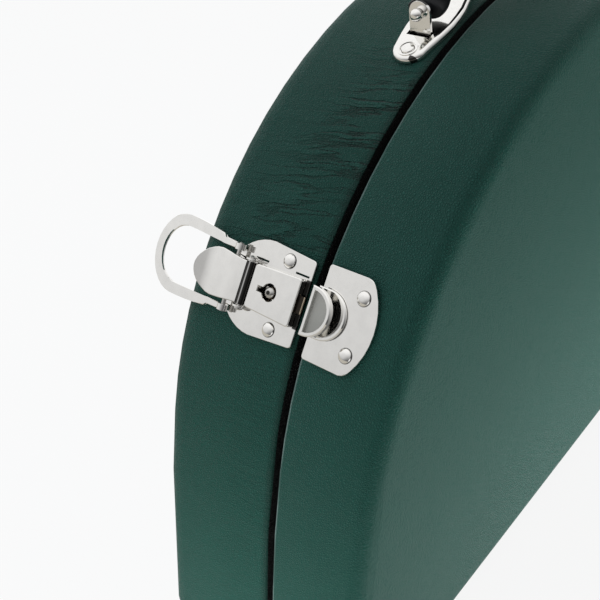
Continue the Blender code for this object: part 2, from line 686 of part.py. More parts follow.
def lever_sheet():
    """The pressed lever about its axle: a cambered sheet with turned-down flanges."""
    reach = LEVER_TIP - LEVER_ROUND
    stations = []
    for i in range(10):
        d = LEVER_START + (reach - LEVER_START) * i / 10
        stations.append((d, smooth_through(LEVER_HALF, d / MM) * MM))
    for i in range(8):
        t = math.pi / 2 * (1 - i / 8) ** 1.2
        stations.append((reach + LEVER_ROUND * math.cos(t), LEVER_ROUND * math.sin(t)))
    rings = []
    for d, half in stations:
        top = smooth_through(LEVER_CAMBER, d / MM) * MM
        hem = top - smooth_through(LEVER_FLANGE, d / MM) * MM
        sheet = min(LEVER_SHEET, half / 2)
        soft = LEVER_SOFT * sheet / LEVER_SHEET
        side = [(half, hem), (half, top - soft), (half - soft * 0.3, top - soft * 0.3), (half - soft, top)]
        under = [(half - sheet, top - LEVER_SHEET), (half - sheet, hem)]
        loop = [(-w, h) for w, h in side] + side[::-1] + under[::-1] + [(-w, h) for w, h in under]
        rings.append([(-d, w, h) for w, h in loop])
    return loft(rings)


def make_lever(tag, nickel, steel, parent, mirrored):
    at = (AXLE_A, 0.0, AXLE_H)
    lever = new_object(f"lever_{tag}", lever_sheet(), nickel, parent, at, mirrored)
    boolean(lever, rod(BARREL_RADIUS, 2 * BARREL_HALF, 20), "UNION", mirrored)
    boolean(lever, rod(AXLE_RADIUS + BORE_CLEARANCE, 3 * BARREL_HALF), "DIFFERENCE", mirrored)
    bore = rod(PIVOT_RADIUS + BORE_CLEARANCE, 3 * BARREL_HALF)
    boolean(lever, moved(bore, -PIVOT_REACH, 0.0, PIVOT_RISE), "DIFFERENCE", mirrored)
    ear = EAR_IN + EAR_THICK + SEAT
    rounded = ear + AXLE_HEAD / 2
    profile = [(AXLE_RADIUS, -ear - AXLE_HEAD), (AXLE_HEAD_RADIUS, -rounded)]
    profile += [(AXLE_HEAD_RADIUS, -ear), (AXLE_RADIUS, -ear)]
    profile += [(r, -h) for r, h in profile[::-1]]
    new_object(f"lever_axle_{tag}", turned(profile, 12, "Y"), steel, parent, at, mirrored)


def bail_outline():
    """The strap seen flat: two necks, then arms that bow out to a half-round end."""
    turn = BAIL_LENGTH - STRAP_OUT
    shoulder = NECK_LENGTH + SHOULDER_RUN
    outer = [(0.0, NECK_OUT), (NECK_LENGTH, NECK_OUT)]
    inner = [(0.0, NECK_IN), (NECK_LENGTH, NECK_IN)]
    for i in range(4):
        left = (1 - i / 4) ** 2
        d = shoulder + (turn - shoulder) * i / 4
        outer.append((d, STRAP_OUT - ARM_BOW_OUT * left))
        inner.append((d, STRAP_IN - ARM_BOW_IN * left))
    around = outer + arc((turn, 0.0), STRAP_OUT, 0.0, math.pi, 16)
    around += [(d, -w) for d, w in outer[::-1]]
    within = inner + arc((turn, 0.0), STRAP_IN, 0.0, math.pi, 16)
    within += [(d, -w) for d, w in inner[::-1]]
    return [(-d, w) for d, w in around + within[::-1]]


def make_bail(tag, nickel, steel, parent, mirrored):
    at = (PIVOT_A, 0.0, PIVOT_H)
    half = STRAP_THICK / 2
    bm = round_edges(slab(bail_outline(), -half, half), STRAP_SOFT, at_height(-half, half), 1)
    bail = new_object(f"bail_{tag}", bm, nickel, parent, at, mirrored)
    bail.rotation_euler = (0.0, -BAIL_TILT, 0.0)
    middle = (NECK_IN + NECK_OUT) / 2
    for way in (-1, 1):
        eye = moved(rod(EYE_RADIUS, NECK_OUT - NECK_IN + 2 * EYE_PROUD), y=way * middle)
        boolean(bail, eye, "UNION", mirrored)
    boolean(bail, rod(PIVOT_RADIUS + BORE_CLEARANCE, 3 * NECK_OUT), "DIFFERENCE", mirrored)
    end = NECK_OUT + PIVOT_END
    profile = [(PIVOT_RADIUS / 2, -end - PIVOT_END / 2), (PIVOT_RADIUS, -end)]
    profile += [(r, -h) for r, h in profile[::-1]]
    new_object(f"bail_axle_{tag}", turned(profile, 12, "Y"), steel, parent, at, mirrored)


def make_hook_plate(name, nickel, parent, mirrored):
    sweep = math.asin(HOOK_HALF / HOOK_ROUND)
    middle = (HOOK_RIGHT - HOOK_ROUND, 0.0)
    curve = arc(middle, HOOK_ROUND, math.pi / 2 - sweep, math.pi / 2 + sweep, 10)
    corners = [(HOOK_LEFT, way * HOOK_HALF, HOOK_SEAM_CORNER) for way in (-1, 1)]
    corners += [(x, w, HOOK_CORNER if i in (0, 10) else 0.0) for i, (x, w) in enumerate(curve)]
    bm = round_edges(slab(filleted(corners), SEAT, PLATE_TOP), PLATE_SOFT, at_height(PLATE_TOP))
    plate = new_object(name, bm, nickel, parent, mirrored=mirrored)
    for way in (-1, 1):
        hole = moved(rivet_hole(), HOOK_RIVET_A, way * HOOK_RIVET_W)
        boolean(plate, hole, "DIFFERENCE", mirrored)


def u_ring(flat, half, end, height):
    """A straight-sided tongue shape with a half-round far end, seen from above."""
    return [(flat, half, height)] + [
        (a, w, height) for a, w in arc((end - half, 0.0), half, 0.0, math.pi, 16)
    ] + [(flat, -half, height)]


def make_catch(name, nickel, parent, mirrored):
    """The boss that the bail hooks on: a step, an undercut neck and a dished cap."""
    foot = PLATE_TOP + SEAT
    soft = CATCH_SOFT
    base = (CATCH_BASE_FLAT, CATCH_BASE_HALF, CATCH_BASE_END)
    neck = (CATCH_CAP_FLAT + soft, CATCH_NECK_HALF, CATCH_NECK_END)
    cap = (CATCH_CAP_FLAT, CATCH_CAP_HALF, CATCH_CAP_END)

    def drawn_in(shape, inset):
        return shape[0] + inset, shape[1] - inset, shape[2] - inset

    rings = [
        u_ring(*base, foot),
        u_ring(*base, CATCH_BASE_TOP - soft),
        u_ring(*drawn_in(base, soft), CATCH_BASE_TOP),
        u_ring(*neck, CATCH_BASE_TOP),
        u_ring(*neck, CATCH_CAP_UNDER),
        u_ring(*cap, CATCH_CAP_UNDER),
        u_ring(*cap, CATCH_TOP - soft),
        u_ring(*drawn_in(cap, soft), CATCH_TOP),
        u_ring(*drawn_in(cap, CATCH_LIP), CATCH_TOP),
        u_ring(*drawn_in(cap, CATCH_LIP + soft), CATCH_TOP - CATCH_DISH),
    ]
    new_object(name, loft(rings), nickel, parent, mirrored=mirrored)


def latch_place(way):
    """The latch's own axes on the rim: to the front, up the rim and outwards."""
    side = math.sin(LATCH_ANGLE)
    rise = math.cos(LATCH_ANGLE)
    spot = Vector((way * RIM_RADIUS * side, SEAM_Y, ARC_Z + RIM_RADIUS * rise))
    front = Vector((0.0, -1.0, 0.0))
    out = Vector((way * side, 0.0, rise))
    along = out.cross(front)
    return Matrix.Translation(spot) @ Matrix((front, along, out)).transposed().to_4x4()


def make_latches(nickel, steel, brass):
    """Two draw latches. The right one is the left one mirrored across its own middle."""
    for tag, way in (("left", -1), ("right", 1)):
        mirrored = way > 0
        place = empty(f"latch_{tag}", latch_place(way))
        make_base_plate(f"base_plate_{tag}", nickel, place, mirrored)
        make_lock(tag, nickel, steel, brass, place, mirrored)
        make_lever(tag, nickel, steel, place, mirrored)
        make_bail(tag, nickel, steel, place, mirrored)
        make_hook_plate(f"hook_plate_{tag}", nickel, place, mirrored)
        make_catch(f"catch_{tag}", nickel, place, mirrored)
        for row, a, w in (("rivet", RIVET_A, RIVET_W), ("hook_rivet", HOOK_RIVET_A, HOOK_RIVET_W)):
            for height, side in (("upper", w), ("lower", -w)):
                name = f"{row}_{height}_{tag}"
                new_object(name, rivet_mesh(PLATE_TOP), nickel, place, (a, side, 0.0), mirrored)


def on_rim(along, across, height):
    """A point beside the top of the rim: arc length from the top, depth and height above it."""
    angle = along / RIM_RADIUS
    radius = RIM_RADIUS + height
    return (radius * math.sin(angle), SEAM_Y - across, ARC_Z + radius * math.cos(angle))


def rim_frame(along, across):
    """Axes on the rim at an arc length from the top: along it, to the back and outwards."""
    turn = Matrix.Rotation(along / RIM_RADIUS, 4, "Y")
    return Matrix.Translation(Vector(on_rim(along, across, 0.0))) @ turn


def handle_half(from_end):
    """Half the handle plate's width at a distance from its end."""
    if from_end < HANDLE_END_ROUND:
        return math.sqrt(max(from_end * (2 * HANDLE_END_ROUND - from_end), 0.0))
    return smooth_through(HANDLE_LOBE, from_end / MM) * MM


def handle_outline(inset):
    """The handle plate's outline moved inwards, from one tip round to it, as (along, side)."""
    ends = [HANDLE_END_ROUND * (1 - math.cos(math.pi / 10 * i)) for i in range(6)]
    lobe = HANDLE_REACH - HANDLE_END_ROUND
    ends += [HANDLE_END_ROUND + lobe * i / 12 for i in range(1, 12)]
    side = [(from_end - HANDLE_REACH, handle_half(from_end)) for from_end in ends]
    side += [(0.0, handle_half(HANDLE_REACH))] + [(-s, w) for s, w in side[::-1]]
    inner = [(side[0][0] + inset, 0.0)]
    for before, here, after in zip(side, side[1:], side[2:]):
        out = Vector((before[1] - after[1], after[0] - before[0])).normalized()
        inner.append((here[0] - inset * out.x, here[1] - inset * out.y))
    inner.append((side[-1][0] - inset, 0.0))
    return inner + [(s, -w) for s, w in inner[-2:0:-1]]


def handle_plate(nickel):
    """A pressed plate bent along the rim: two lobes, sloped borders, and a hollow underside."""
    under = HANDLE_TOP - PLATE_THICK
    room = HANDLE_SLOPE - PLATE_THICK
    steps = [(PLATE_THICK + room * share, under * rise) for share, rise in HANDLE_UNDERSIDE]
    steps += [(PLATE_THICK, SEAT), (0.0, SEAT)]
    steps += [(HANDLE_SLOPE * share, HANDLE_TOP * rise) for share, rise in HANDLE_BORDER]
    rings = [
        [on_rim(s, HANDLE_A + w, height) for s, w in handle_outline(inset)]
        for inset, height in steps
    ]
    plate = new_object("handle_plate", loft(rings, True), nickel)
    recess = HANDLE_TOP - COLLAR_SINK
    slot_inner = asin_arc(PIN_X - LUG_THICK / 2, HANDLE_TOP) - SEAT
    slot_outer = asin_arc(PIN_X + LUG_THICK / 2, HANDLE_TOP) + SLOT_GAP
    half = (slot_outer - slot_inner) / 2
    for way in (-1, 1):
        spot = rim_frame(way * HANDLE_RIVET_ARC, HANDLE_A)
        collar = turned([(COLLAR_RADIUS, recess), (COLLAR_RADIUS, HANDLE_TOP + COLLAR_PROUD)], 20)
        boolean(plate, placed(collar, spot), "UNION")
        dip = turned([(COLLAR_INNER, recess), (COLLAR_INNER, 2 * HANDLE_TOP)], 18)
        boolean(plate, placed(dip, spot), "DIFFERENCE")
        boolean(plate, placed(rivet_hole(), spot), "DIFFERENCE")
        slot = block((-half, -SLOT_LENGTH / 2, 0.0), (half, SLOT_LENGTH / 2, 2 * HANDLE_TOP))
        middle = rim_frame(way * (slot_inner + slot_outer) / 2, HANDLE_A)
        boolean(plate, placed(slot, middle), "DIFFERENCE")


def asin_arc(x, height):
    """Arc length from the top at which a height above the rim stands at the given x."""
    return RIM_RADIUS * math.asin(x / (RIM_RADIUS + height))


def handle_lug(name, nickel, way):
    """An angle bracket: its foot lies under the plate, its eye stands up through the slot."""
    low = LUG_LIFT
    high = HANDLE_TOP - PLATE_THICK - LUG_ROOM
    at = Vector((way * PIN_X, SEAM_Y - HANDLE_A, PIN_Z))
    back = Matrix.Translation(-at)
    start = asin_arc(PIN_X, low)
    end = HANDLE_RIVET_ARC + LUG_PAST_RIVET
    half = (end - start) / 2
    side = LUG_HALF - LUG_THICK / 4
    corners = [
        (-way * half, -side, 0.0),
        (way * half, -side, LUG_THICK),
        (way * half, side, LUG_THICK),
        (-way * half, side, 0.0),
    ]
    foot = placed(slab(filleted(corners), low, high), back @ rim_frame(way * (start + end) / 2, HANDLE_A))
    lug = new_object(name, foot, nickel, None, at)
    heel = math.sqrt((RIM_RADIUS + (low + high) / 2) ** 2 - PIN_X ** 2) + ARC_Z - PIN_Z
    eye = [(-LUG_HALF, heel)] + arc((0.0, 0.0), LUG_HALF, -math.pi / 2, math.pi / 2, 12) + [(LUG_HALF, heel)]
    upright = loft([[(way * x, y, z) for y, z in eye] for x in (-LUG_THICK / 2, LUG_THICK / 2)])
    boolean(lug, upright, "UNION")
    boolean(lug, rod(HANDLE_PIN + HANDLE_PIN_CLEARANCE, 4 * LUG_THICK, 16, "X"), "DIFFERENCE")
    hole = placed(rivet_hole(), back @ rim_frame(way * HANDLE_RIVET_ARC, HANDLE_A))
    boolean(lug, hole, "DIFFERENCE")


def make_grip():
    """The leather grip about its swing axis: a bowed bar whose ends turn in to the pins."""
    soft = GRIP_HALF_LENGTH - GRIP_END_SOFT
    half = [
        (-GRIP_HALF_LENGTH, 0.0, 0.0),
        (-soft, 0.0, 0.0),
        (-GRIP_CORNER_X, 0.0, GRIP_CORNER_BEND),
        (-GRIP_SHOULDER_X, GRIP_SHOULDER_RISE, GRIP_SHOULDER_BEND),
    ]
    line = half + [(0.0, GRIP_RISE, GRIP_CROWN_BEND)] + [(-x, z, bend) for x, z, bend in half[::-1]]
    path = [Vector((x, 0.0, z)) for x, z in filleted(line)]
    last = len(path) - 1
    rings = []
    for i, spot in enumerate(path):
        along = (path[min(i + 1, last)] - path[max(i - 1, 0)]).normalized()
        up = Vector((-along.z, 0.0, along.x))
        full = 1 - abs(spot.x / GRIP_HALF_LENGTH) ** 3
        wide = GRIP_END_HALF_WIDTH + (GRIP_HALF_WIDTH - GRIP_END_HALF_WIDTH) * full
        thick = GRIP_END_HALF_THICK + (GRIP_HALF_THICK - GRIP_END_HALF_THICK) * full
        if i in (0, last):
            wide -= GRIP_END_SOFT
            thick -= GRIP_END_SOFT
        turns = [2 * math.pi * k / GRIP_POINTS for k in range(GRIP_POINTS)]
        across = Vector((0.0, wide, 0.0))
        rings.append([spot + up * thick * math.sin(turn) + across * math.cos(turn) for turn in turns])
    return loft(rings)


def make_handle(nickel, leather):
    handle_plate(nickel)
    swing = empty("handle_swing", Matrix.Translation((0.0, SEAM_Y - HANDLE_A, PIN_Z)))
    new_object("handle_grip", make_grip(), leather, swing)
    start = GRIP_HALF_LENGTH + SEAT
    inner = PIN_X - LUG_THICK / 2 - SEAT
    outer = PIN_X + LUG_THICK / 2 + SEAT
    profile = [(SLEEVE_RADIUS - SLEEVE_SOFT, start), (SLEEVE_RADIUS, start + SLEEVE_SOFT)]
    profile += [(SLEEVE_RADIUS, inner), (HANDLE_PIN, inner), (HANDLE_PIN, outer)]
    profile += ball(HANDLE_BALL, math.radians(-40.0), outer)
    for tag, way in (("left", -1), ("right", 1)):
        handle_lug(f"handle_lug_{tag}", nickel, way)
        head = new_object(f"handle_rivet_{tag}", rivet_mesh(HANDLE_TOP - COLLAR_SINK), nickel)
        head.matrix_world = rim_frame(way * HANDLE_RIVET_ARC, HANDLE_A)
        end = turned([(r, way * x) for r, x in profile], 18, "X")
        new_object(f"handle_end_{tag}", end, nickel, swing)


def main():
    clear_scene()
    green = material("green_leathercloth", (0.022, 0.065, 0.052), 0.45)
    black = material("black_leather", (0.008, 0.009, 0.012), 0.4)
    nickel = material("polished_nickel", (0.78, 0.77, 0.74), 0.12, 1.0)
    steel = material("steel_pins", (0.6, 0.58, 0.55), 0.25, 1.0)
    brass = material("brass_bolt", (0.65, 0.45, 0.25), 0.3, 1.0)
    plush = material("plush_lining", (0.03, 0.03, 0.035), 0.9)
    fibre = material("fibre_tongue", (0.012, 0.014, 0.013), 0.7)

    lid_swing = empty("lid_swing", Matrix.Translation((0.0, SEAM_Y, HINGE_Z)))
    back = make_shells(green, fibre, lid_swing)
    make_linings(plush, lid_swing)
    make_feet(nickel, back, lid_swing)
    make_hinges(nickel, steel, lid_swing)
    make_latches(nickel, steel, brass)
    make_handle(nickel, black)


main()
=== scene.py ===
import json
import math

import bpy
from bpy.props import FloatProperty, FloatVectorProperty, PointerProperty
from mathutils import Matrix, Vector


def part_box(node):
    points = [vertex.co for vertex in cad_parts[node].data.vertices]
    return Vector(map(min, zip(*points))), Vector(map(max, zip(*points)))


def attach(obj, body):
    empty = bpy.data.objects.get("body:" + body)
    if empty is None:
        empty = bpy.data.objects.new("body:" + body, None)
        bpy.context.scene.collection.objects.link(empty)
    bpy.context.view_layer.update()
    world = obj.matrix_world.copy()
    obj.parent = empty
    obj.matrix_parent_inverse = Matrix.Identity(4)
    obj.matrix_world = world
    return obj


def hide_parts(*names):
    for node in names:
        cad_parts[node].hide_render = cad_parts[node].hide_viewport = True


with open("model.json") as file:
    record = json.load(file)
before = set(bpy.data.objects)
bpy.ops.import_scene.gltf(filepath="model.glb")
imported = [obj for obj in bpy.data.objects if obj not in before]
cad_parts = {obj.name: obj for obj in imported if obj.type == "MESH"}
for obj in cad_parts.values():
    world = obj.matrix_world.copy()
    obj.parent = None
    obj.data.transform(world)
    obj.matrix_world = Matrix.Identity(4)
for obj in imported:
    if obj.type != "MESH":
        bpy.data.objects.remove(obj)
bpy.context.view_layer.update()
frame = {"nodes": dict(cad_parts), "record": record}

bl_info = {
    "name": "Half-moon horn case",
    "version": (1, 0, 0),
    "blender": (4, 5, 0),
    "location": "3D View > Sidebar > Horn case",
    "description": "Leathercloth, nickel fittings, lining and studio for a half-moon horn case",
    "category": "Object",
}

BACK_LOW, BACK_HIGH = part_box("back_shell")
LID_LOW, LID_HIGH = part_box("front_shell")
SEAM_Y = (BACK_LOW.y + LID_HIGH.y) / 2
RIM_RADIUS = 0.2301
ARC_Z = BACK_HIGH.z - RIM_RADIUS
LATCH_SIN = math.sin(math.radians(50.6))
LATCH_COS = math.cos(math.radians(50.6))
HANDLE_Y = SEAM_Y + 0.0151
MERGE = 1e-5
SMOOTH_ANGLE = math.radians(32.0)


class CaseLooks(bpy.types.PropertyGroup):
    """Sizes and colours of the case's finish that a user would change."""

    leather_colour: FloatVectorProperty(
        name="Leathercloth", description="Colour of the covering", subtype="COLOR", size=3,
        default=(0.0110, 0.066, 0.050), min=0.0, max=1.0)
    leather_light: FloatVectorProperty(
        name="Leathercloth, rubbed", description="Lighter tone of the covering", subtype="COLOR", size=3,
        default=(0.0165, 0.083, 0.065), min=0.0, max=1.0)
    grip_colour: FloatVectorProperty(
        name="Grip", description="Colour of the handle's leather", subtype="COLOR", size=3,
        default=(0.0030, 0.0034, 0.0048), min=0.0, max=1.0)
    nickel_colour: FloatVectorProperty(
        name="Nickel", description="Colour of the plated fittings", subtype="COLOR", size=3,
        default=(0.92, 0.91, 0.885), min=0.0, max=1.0)
    plush_colour: FloatVectorProperty(
        name="Plush", description="Colour of the lining", subtype="COLOR", size=3,
        default=(0.022, 0.022, 0.026), min=0.0, max=1.0)
    grain_size: FloatProperty(
        name="Grain", description="Width of a grain cell in the covering", subtype="DISTANCE",
        default=0.0011, min=0.0002, max=0.01)
    wrinkle_pitch: FloatProperty(
        name="Wrinkles", description="Distance between creases across the rim", subtype="DISTANCE",
        default=0.0035, min=0.0005, max=0.05)
    voxel: FloatProperty(
        name="Padding mesh", description="Mesh size of the padded lining", subtype="DISTANCE",
        default=0.006, min=0.002, max=0.02)
    light: FloatProperty(
        name="Light", description="Strength of all the studio's lamps", default=1.0, min=0.0, max=10.0)


def looks():
    return bpy.context.scene.horn_case


class Value:
    """A shader socket that can be used in Python expressions."""

    def __init__(self, paint, socket):
        self.paint = paint
        self.socket = socket

    def math(self, operation, *others, clamp=False):
        inputs = {i: value for i, value in enumerate((self, *others))}
        return self.paint.node("ShaderNodeMath", {"operation": operation, "use_clamp": clamp}, inputs)

    def __add__(self, other):
        return self.math("ADD", other)

    __radd__ = __add__

    def __mul__(self, other):
        return self.math("MULTIPLY", other)

    __rmul__ = __mul__

    def __sub__(self, other):
        return self.math("SUBTRACT", other)

    def __rsub__(self, other):
        return self.paint.node("ShaderNodeMath", {"operation": "SUBTRACT"}, {0: other, 1: self})

    def __truediv__(self, other):
        return self.math("DIVIDE", other)

    def __pow__(self, other):
        return self.math("POWER", other)

    def step(self, low, high, start=0.0, end=1.0):
        """Smoothly from start to end while this goes from low to high."""
        settings = {"interpolation_type": "SMOOTHSTEP"}
        return self.paint.node("ShaderNodeMapRange", settings, {0: self, 1: low, 2: high, 3: start, 4: end})


class Shading:
    """Adds nodes to a tree and gives their outputs as values."""

    def __init__(self, tree):
        self.tree = tree

    def node(self, kind, settings=None, inputs=None, output=0):
        made = self.tree.nodes.new(kind)
        for key, value in (settings or {}).items():
            setattr(made, key, value)
        for key, value in (inputs or {}).items():
            if isinstance(value, Value):
                self.tree.links.new(value.socket, made.inputs[key])
            else:
                made.inputs[key].default_value = value
        return Value(self, made.outputs[output])

    def place(self):
        return self.node("ShaderNodeTexCoord", output="Object")

    def split(self, vector):
        parts = self.node("ShaderNodeSeparateXYZ", inputs={0: vector}).socket.node
        return [Value(self, parts.outputs[i]) for i in range(3)]

    def join(self, x, y, z):
        return self.node("ShaderNodeCombineXYZ", inputs={0: x, 1: y, 2: z})

    def noise(self, vector, scale, detail=2.0, roughness=0.5):
        inputs = {"Vector": vector, "Scale": scale, "Detail": detail, "Roughness": roughness}
        return self.node("ShaderNodeTexNoise", None, inputs)

    def cells(self, vector, scale, feature="DISTANCE_TO_EDGE"):
        inputs = {"Vector": vector, "Scale": scale}
        return self.node("ShaderNodeTexVoronoi", {"feature": feature}, inputs)

    def mix(self, factor, first, second):
        settings = {"data_type": "RGBA"}
        inputs = {0: factor, 6: first, 7: second}
        return self.node("ShaderNodeMix", settings, inputs, output=2)

    def bump(self, height, distance, strength=1.0, under=None):
        inputs = {"Height": height, "Distance": distance, "Strength": strength}
        if under:
            inputs["Normal"] = under
        return self.node("ShaderNodeBump", None, inputs)


class Paint(Shading):
    """A material with one Principled shader, and the nodes that feed it."""

    def __init__(self, name, **constants):
        self.material = bpy.data.materials.new(name)
        self.material.use_nodes = True
        super().__init__(self.material.node_tree)
        self.shader = self.tree.nodes["Principled BSDF"]
        for key, value in constants.items():
            self.shader.inputs[key.replace("_", " ")].default_value = value

    def feed(self, **links):
        for key, value in links.items():
            self.tree.links.new(value.socket, self.shader.inputs[key.replace("_", " ")])
        return self.material


def opaque(colour):
    return (*colour, 1.0)


def leathercloth():
    """Green covering: grain cells, fine pores, creases across the rim and a rubbed tone, with painted shade in the
    creases and at the seam, and painted highlights on the crease ridges and the lid's seam edge.
    """
    own = looks()
    paint = Paint("leathercloth", Specular_IOR_Level=0.15, Sheen_Weight=0.06, Sheen_Roughness=0.35)
    place = paint.place()
    x, y, z = paint.split(place)
    warp = paint.noise(place, 1.0 / (6 * own.grain_size), 2.0)
    grain = paint.cells(place, 1.0 / own.grain_size)
    grain = (grain * (0.6 + 0.8 * warp)).step(0.0, 0.35)
    pores = paint.noise(place, 1.0 / (0.35 * own.grain_size), 3.0, 0.6)
    angle = x.math("ARCTAN2", z - ARC_Z)
    along = (angle * RIM_RADIUS + y * 0.18) / own.wrinkle_pitch
    sway = paint.noise(place, 35.0, 2.0) * 2.2
    across = paint.join(along + sway, y * 30.0, 0.0)
    height = paint.noise(across, 0.75, 3.0, 0.5) - 0.5
    crease = height.math("ABSOLUTE").step(0.0, 0.045, 1.0, 0.0)
    ridge = height.step(0.03, 0.06) * height.step(0.10, 0.17, 1.0, 0.0)
    streaks = paint.noise(paint.join(along * 1.9 + sway, y * 45.0, 0.0), 1.0, 2.0, 0.5)
    from_seam = (y - SEAM_Y).math("ABSOLUTE")
    near_seam = (y - SEAM_Y).step(0.010, 0.062, 1.0, 0.12) * (y - SEAM_Y).step(-0.001, 0.001)
    patch = paint.noise(place, 18.0, 2.0).step(0.38, 0.56)
    shoulder = angle.math("ABSOLUTE").step(0.25, 0.40) * angle.math("ABSOLUTE").step(0.78, 0.98, 1.0, 0.12)
    on_rim = (x * x + (z - ARC_Z) * (z - ARC_Z)).math("SQRT").step(RIM_RADIUS - 0.006, RIM_RADIUS - 0.002)
    creased = near_seam * (0.3 + 0.7 * patch) * on_rim * shoulder
    creases = crease * creased
    folds = paint.noise(place, 26.0, 2.0)
    tone = paint.noise(place, 5.0, 3.0) * 0.7 + grain * 0.2 + pores * 0.2
    colour = paint.mix(tone.step(0.35, 0.85), opaque(own.leather_colour), opaque(own.leather_light))
    # painted highlight along one side of each crease
    colour = paint.mix(0.40 * ridge * creased, colour, (0.028, 0.115, 0.090, 1.0))
    # painted shade in the creases, and darker grain borders
    colour = paint.mix(0.72 * creases + 0.18 * (1.0 - grain), colour, (0.0022, 0.015, 0.011, 1.0))
    # painted shade on the back shell where it curves into the seam
    shade_behind_seam = (y - SEAM_Y).step(0.0020, 0.0070, 0.62, 0.0) * (y - SEAM_Y).step(0.0, 0.0005) * on_rim
    colour = paint.mix(shade_behind_seam, colour, (0.0022, 0.015, 0.011, 1.0))
    # the shells' faces at the seam, painted near-black as the gap's shade
    clear_of_seam_shade = from_seam.step(0.00203, 0.00212)
    colour = paint.mix(clear_of_seam_shade, (0.0006, 0.0008, 0.0008, 1.0), colour)
    # painted highlight: a broken light line along the lid's edge at the seam
    before_seam = SEAM_Y - y
    painted_edge_highlight = before_seam.step(0.0019, 0.0021) * before_seam.step(0.0027, 0.0034, 1.0, 0.0)
    painted_edge_highlight = painted_edge_highlight * paint.noise(place, 30.0, 2.0).step(0.38, 0.6, 0.35, 1.0)
    colour = paint.mix(painted_edge_highlight, colour, (0.13, 0.19, 0.175, 1.0))
    soft = paint.bump(folds, 0.004, 0.12)
    soft = paint.bump(ridge * creased * 0.6 + streaks * creased * 0.35 - creases, 0.0008, 0.9, soft)
    fine = paint.bump(grain, 0.00040, 0.9, soft)
    fine = paint.bump(pores, 0.00005, 0.35, fine)
    rough = 0.44 + 0.12 * pores - 0.05 * grain + 0.4 * (1.0 - clear_of_seam_shade)
    return paint.feed(Base_Color=colour, Roughness=rough, Normal=fine)


def black_leather():
    """Smooth handle leather with a fine pore and worn, slightly glossier ridges."""
    own = looks()
    paint = Paint("black_leather", Specular_IOR_Level=0.3)
    place = paint.place()
    pores = paint.cells(place, 1500.0)
    fine = paint.noise(place, 900.0, 3.0, 0.6)
    cloud = paint.noise(place, 60.0, 2.0)
    colour = paint.mix(cloud.step(0.3, 0.8), opaque(own.grip_colour), (0.0062, 0.0066, 0.0090, 1.0))
    normal = paint.bump(pores.step(0.0, 0.3), 0.00007, 0.5)
    normal = paint.bump(fine, 0.00005, 0.4, normal)
    return paint.feed(Base_Color=colour, Roughness=0.32 + 0.16 * cloud, Normal=normal)


def between(value, low, high, soft):
    """One inside the two limits, and none outside."""
    return value.step(low - soft, low) * value.step(high, high + soft, 1.0, 0.0)


def painted_shade_and_rings(paint, x, y, z):
    """Dark rings round the rivets, and painted shade and reflections on the nickel: a painted dark glint on the key
    post, a dark band with a painted highlight stripe on the barrel, and painted shade under the catch and in the
    handle's slots and notch.
    """
    side = x.math("ABSOLUTE")
    up = z - ARC_Z
    ahead = SEAM_Y - y
    out = side * LATCH_SIN + up * LATCH_COS - RIM_RADIUS
    across = (up * LATCH_SIN - side * LATCH_COS).math("ABSOLUTE")
    # painted shade on the plate strip and wall beside the catch
    gap = between(ahead, -0.0056, -0.0030, 0.0002) * across.step(0.0110, 0.0116, 1.0, 0.0)
    gap = gap * out.step(0.0048, 0.0052, 1.0, 0.0)
    # the hinge barrel: a dark band of painted shade, with a lighter stripe of painted highlight along its middle
    barrel = between(ahead, -0.0366, -0.0328, 0.0001) * across.step(0.0100, 0.0102, 1.0, 0.0) * out.step(0.0040, 0.0048)
    barrel = barrel * (1.0 - 0.55 * between(ahead, -0.0350, -0.0346, 0.0002))
    rings = 0.0
    # thin dark rings round the rivet heads
    for centre, aside in ((-0.0175, 0.0161), (0.02475, 0.0127)):
        away = ((ahead - centre) * (ahead - centre) + (across - aside) * (across - aside)).math("SQRT")
        rings = 0.6 * between(away, 0.0032, 0.0035, 0.00015) + rings
    # a painted dark glint in the middle of the key post
    post = ((ahead + 0.02055) * (ahead + 0.02055) + across * across).math("SQRT").step(0.0009, 0.0011, 1.0, 0.0)
    over_rim = (x * x + up * up).math("SQRT") - RIM_RADIUS
    arc = side.math("ARCTAN2", up) * RIM_RADIUS
    from_handle = (y - HANDLE_Y).math("ABSOLUTE")
    # painted shadow in the handle plate's slots, over the bracket feet
    slot = between(arc, 0.0600, 0.0668, 0.0001) * from_handle.step(0.0062, 0.0064, 1.0, 0.0)
    slot = slot * over_rim.step(0.0024, 0.0026, 1.0, 0.0)
    # painted shade in the notch beside the handle
    notch = between(arc, 0.0793, 0.0812, 0.0002) * between(HANDLE_Y - y, 0.0035, 0.0100, 0.0002)
    notch = notch * over_rim.step(0.0031, 0.0032, 1.0, 0.0)
    darkest = (gap * 0.95).math("MAXIMUM", barrel * 0.96).math("MAXIMUM", slot * 0.98)
    darkest = darkest.math("MAXIMUM", notch * 0.93).math("MAXIMUM", post * 0.95)
    return darkest.math("MAXIMUM", rings, clamp=True)


def dish_satin_and_shade(paint, x, y, z):
    """The catch's dish, which is bead-blasted and so rougher; its colour is darkened to grey as painted shade."""
    up = z - ARC_Z
    ahead = SEAM_Y - y - 0.0044
    out = x.math("ABSOLUTE") * LATCH_SIN + up * LATCH_COS - RIM_RADIUS
    across = up * LATCH_SIN - x.math("ABSOLUTE") * LATCH_COS
    from_middle = (ahead * ahead + across * across).math("SQRT")
    return from_middle.step(0.0093, 0.0096, 1.0, 0.0) * ahead.step(0.0001, 0.0003) * between(out, 0.0070, 0.0081, 0.0002)


